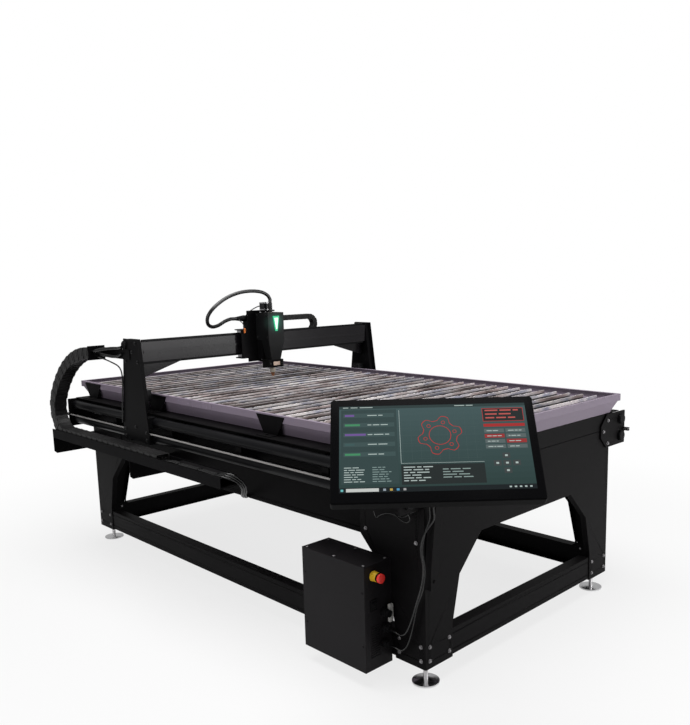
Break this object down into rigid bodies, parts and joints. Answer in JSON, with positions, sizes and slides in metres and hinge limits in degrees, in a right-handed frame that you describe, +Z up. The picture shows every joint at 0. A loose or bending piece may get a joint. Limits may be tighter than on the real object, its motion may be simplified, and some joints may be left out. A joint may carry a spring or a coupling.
{
  "type": "cnc plasma cutting table",
  "caption": "CNC plasma table with a folded-sheet stand, water pan with slats, belt-driven gantry, torch head on a powered lift, cable chains, control box and a tilting monitor.",
  "frame": {"origin": "on the floor under the middle of the whole machine's box", "axes": "+X along the table towards the end with the monitor, -Y towards the front long side with the control box, +Z up"},
  "size_m": [3.1971, 2.0138, 1.438],
  "materials": {
    "frame_paint": "black powder coat, satin",
    "pan_paint": "grey powder coat with water and dross stains",
    "gantry_paint": "black powder coat, satin",
    "slat_steel": "worn, heat-tinted bare steel",
    "chrome": "bright plated steel",
    "zinc": "zinc plate",
    "rail_steel": "dark oiled steel tube",
    "guide_steel": "ground steel",
    "belt": "toothed belt with pale backing",
    "belt_black": "black toothed belt",
    "motor": "black lacquered motor",
    "aluminium": "machined aluminium",
    "chain_plastic": "black moulded plastic",
    "dark_plastic": "dark moulded plastic",
    "cable": "black cable sheath",
    "copper": "copper torch tip",
    "lens": "lit green lens",
    "fittings": "yellow switch housing and dark connectors",
    "stop_red": "red mushroom button",
    "board": "power supply, drives and circuit board",
    "screen": "lit display"
  },
  "bodies": {
    "stand": {"end_frame_front": "frame_paint", "end_frame_rear": "frame_paint", "side_panels": "frame_paint", "lower_side_beams": "frame_paint", "lower_end_beams": "frame_paint", "frame_bolts": "zinc", "pan_brackets": "frame_paint", "water_pan": "pan_paint", "slat_supports": "slat_steel", "slats": "slat_steel", "rail_tubes": "rail_steel", "rail_mounts": "frame_paint", "gantry_belts": "belt", "gantry_chain": "chain_plastic", "chain_tray": "frame_paint", "box_shell": "frame_paint", "box_cover": "frame_paint", "box_fittings": "fittings", "box_electronics": "board", "monitor_post": "frame_paint", "signal_cables": "cable"},
    "gantry": {"gantry_tower_left": "gantry_paint", "gantry_tower_right": "gantry_paint", "gantry_beam": "gantry_paint", "beam_rails": "guide_steel", "guide_shoes": "dark_plastic", "gantry_motors": "motor", "belt_loops": "belt_black", "beam_belt": "belt_black", "chain_arm": "gantry_paint", "beam_chain": "chain_plastic"},
    "carriage": {"carriage_plate": "gantry_paint", "carriage_guides": "guide_steel", "carriage_motor": "motor", "lift_motor": "motor", "lead_gland": "dark_plastic"},
    "head": {"head_body": "gantry_paint", "head_cover": "dark_plastic", "light_lens": "lens", "torch": "dark_plastic", "torch_tip": "copper", "torch_lead": "cable"},
    "monitor": {"monitor_case": "dark_plastic", "monitor_screen": "screen"},
    "foot_front_left": {"foot_front_left": "chrome"},
    "foot_front_right": {"foot_front_right": "chrome"},
    "foot_rear_left": {"foot_rear_left": "chrome"},
    "foot_rear_right": {"foot_rear_right": "chrome"},
    "drive_pulley_left": {"drive_pulley_left": "aluminium"},
    "drive_pulley_right": {"drive_pulley_right": "aluminium"},
    "idler_left_rear": {"idler_left_rear": "aluminium"},
    "idler_left_front": {"idler_left_front": "aluminium"},
    "idler_right_rear": {"idler_right_rear": "aluminium"},
    "idler_right_front": {"idler_right_front": "aluminium"},
    "carriage_pulley": {"carriage_pulley": "aluminium"},
    "lift_screw": {"lift_screw": "guide_steel"},
    "estop_button": {"estop_button": "stop_red"},
    "power_switch": {"power_switch": "dark_plastic"},
    "fan_rotor": {"fan_rotor": "dark_plastic"},
    "monitor_bracket": {"monitor_bracket": "frame_paint"}
  },
  "joints": [
    {"name": "gantry_slide", "type": "slide", "parent": "stand", "child": "gantry", "axis": [1, 0, 0], "range_m": [-0.645, 1.645], "deforming": ["gantry_chain"]},
    {"name": "carriage_slide", "type": "slide", "parent": "gantry", "child": "carriage", "axis": [0, 1, 0], "range_m": [-0.5, 0.56], "deforming": ["beam_chain"]},
    {"name": "torch_lift", "type": "slide", "parent": "carriage", "child": "head", "axis": [0, 0, 1], "range_m": [-0.035, 0.075], "deforming": ["torch_lead"]},
    {"name": "drive_pulley_left_spin", "type": "hinge", "parent": "gantry", "child": "drive_pulley_left", "pos_m": [-0.78657, -0.54814, 0.931], "axis": [0, 1, 0], "continuous": true},
    {"name": "idler_left_rear_spin", "type": "hinge", "parent": "gantry", "child": "idler_left_rear", "pos_m": [-0.81408, -0.54814, 0.7696], "axis": [0, 1, 0], "continuous": true},
    {"name": "idler_left_front_spin", "type": "hinge", "parent": "gantry", "child": "idler_left_front", "pos_m": [-0.75905, -0.54814, 0.7696], "axis": [0, 1, 0], "continuous": true},
    {"name": "drive_pulley_right_spin", "type": "hinge", "parent": "gantry", "child": "drive_pulley_right", "pos_m": [-0.78657, 0.99186, 0.931], "axis": [0, 1, 0], "continuous": true},
    {"name": "idler_right_rear_spin", "type": "hinge", "parent": "gantry", "child": "idler_right_rear", "pos_m": [-0.81408, 0.99186, 0.7696], "axis": [0, 1, 0], "continuous": true},
    {"name": "idler_right_front_spin", "type": "hinge", "parent": "gantry", "child": "idler_right_front", "pos_m": [-0.75905, 0.99186, 0.7696], "axis": [0, 1, 0], "continuous": true},
    {"name": "carriage_pulley_spin", "type": "hinge", "parent": "carriage", "child": "carriage_pulley", "pos_m": [-0.72372, 0.10686, 1.15], "axis": [0, 0, 1], "continuous": true},
    {"name": "lift_screw_spin", "type": "hinge", "parent": "carriage", "child": "lift_screw", "pos_m": [-0.68257, 0.17686, 1.19], "axis": [0, 0, 1], "continuous": true},
    {"name": "foot_front_left_turn", "type": "hinge", "parent": "stand", "child": "foot_front_left", "pos_m": [0.94843, -0.37314, 0.04], "axis": [0, 0, 1], "continuous": true},
    {"name": "foot_front_right_turn", "type": "hinge", "parent": "stand", "child": "foot_front_right", "pos_m": [0.94843, 0.81686, 0.04], "axis": [0, 0, 1], "continuous": true},
    {"name": "foot_rear_left_turn", "type": "hinge", "parent": "stand", "child": "foot_rear_left", "pos_m": [-1.52157, -0.37314, 0.04], "axis": [0, 0, 1], "continuous": true},
    {"name": "foot_rear_right_turn", "type": "hinge", "parent": "stand", "child": "foot_rear_right", "pos_m": [-1.52157, 0.81686, 0.04], "axis": [0, 0, 1], "continuous": true},
    {"name": "estop_press", "type": "slide", "parent": "stand", "child": "estop_button", "axis": [-1, 0, 0], "range_m": [0, 0.006], "stiffness_N_per_m": 1500, "springref_m": -0.002},
    {"name": "power_switch_rock", "type": "hinge", "parent": "stand", "child": "power_switch", "pos_m": [0.83093, -0.52014, 0.3111], "axis": [0, 1, 0], "range_deg": [-10, 10]},
    {"name": "fan_spin", "type": "hinge", "parent": "stand", "child": "fan_rotor", "pos_m": [0.49343, -0.48814, 0.16935], "axis": [1, 0, 0], "continuous": true},
    {"name": "monitor_swivel", "type": "hinge", "parent": "stand", "child": "monitor_bracket", "pos_m": [1.2355, -0.64832, 0.934], "axis": [0, 0, 1], "range_deg": [-30, 30]},
    {"name": "monitor_tilt", "type": "hinge", "parent": "monitor_bracket", "child": "monitor", "pos_m": [1.26427, -0.6761, 0.9563], "axis": [0.6947, 0.7193, 0], "range_deg": [-10, 30]}
  ],
  "couplings": [
    {"joint": "drive_pulley_left_spin", "follows": "gantry_slide", "rad_per_m": -62.832},
    {"joint": "idler_left_rear_spin", "follows": "gantry_slide", "rad_per_m": 107.53},
    {"joint": "idler_left_front_spin", "follows": "gantry_slide", "rad_per_m": 107.53},
    {"joint": "drive_pulley_right_spin", "follows": "gantry_slide", "rad_per_m": -62.832},
    {"joint": "idler_right_rear_spin", "follows": "gantry_slide", "rad_per_m": 107.53},
    {"joint": "idler_right_front_spin", "follows": "gantry_slide", "rad_per_m": 107.53},
    {"joint": "carriage_pulley_spin", "follows": "carriage_slide", "rad_per_m": 104.72},
    {"joint": "lift_screw_spin", "follows": "torch_lift", "rad_per_m": -628.32}
  ]
}
